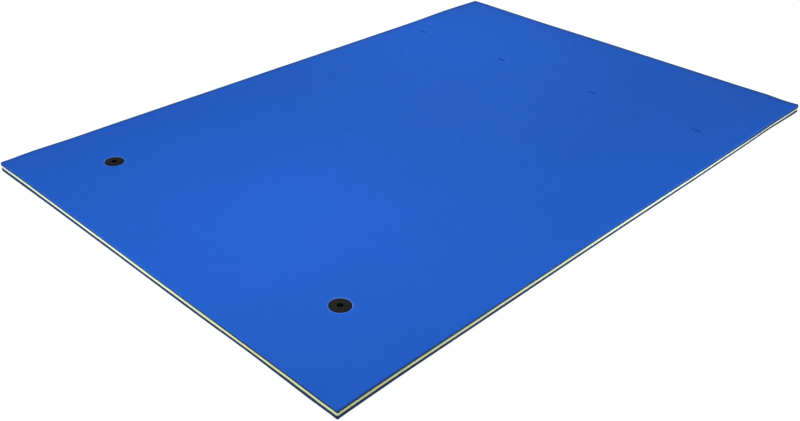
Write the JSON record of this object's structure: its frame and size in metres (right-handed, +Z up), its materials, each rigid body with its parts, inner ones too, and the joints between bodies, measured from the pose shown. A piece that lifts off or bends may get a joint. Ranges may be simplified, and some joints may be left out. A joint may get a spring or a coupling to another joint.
{
  "type": "swim float mat",
  "caption": "Flat floating foam mat of laminated closed-cell sheets with soft rims, clamped tether grommets near one end and strap slits near the other.",
  "frame": {"origin": "on the floor under the middle of the mat's outline", "axes": "+X along the mat from the grommets' end to the slits' end, +Y across it, +Z up out of the deck"},
  "size_m": [2.743, 1.829, 0.0306],
  "materials": {
    "blue_foam": "matte, fine mottled skin of closed-cell foam",
    "yellow_foam": "matte, cut edge of closed-cell foam",
    "black_plastic": "matte moulded plastic"
  },
  "bodies": {
    "root": {"top_foam_sheet": "blue_foam", "core_foam_sheet": "yellow_foam", "bottom_foam_sheet": "blue_foam", "near_grommet_upper_half": "black_plastic", "near_grommet_lower_half": "black_plastic", "far_grommet_upper_half": "black_plastic", "far_grommet_lower_half": "black_plastic"}
  },
  "joints": []
}
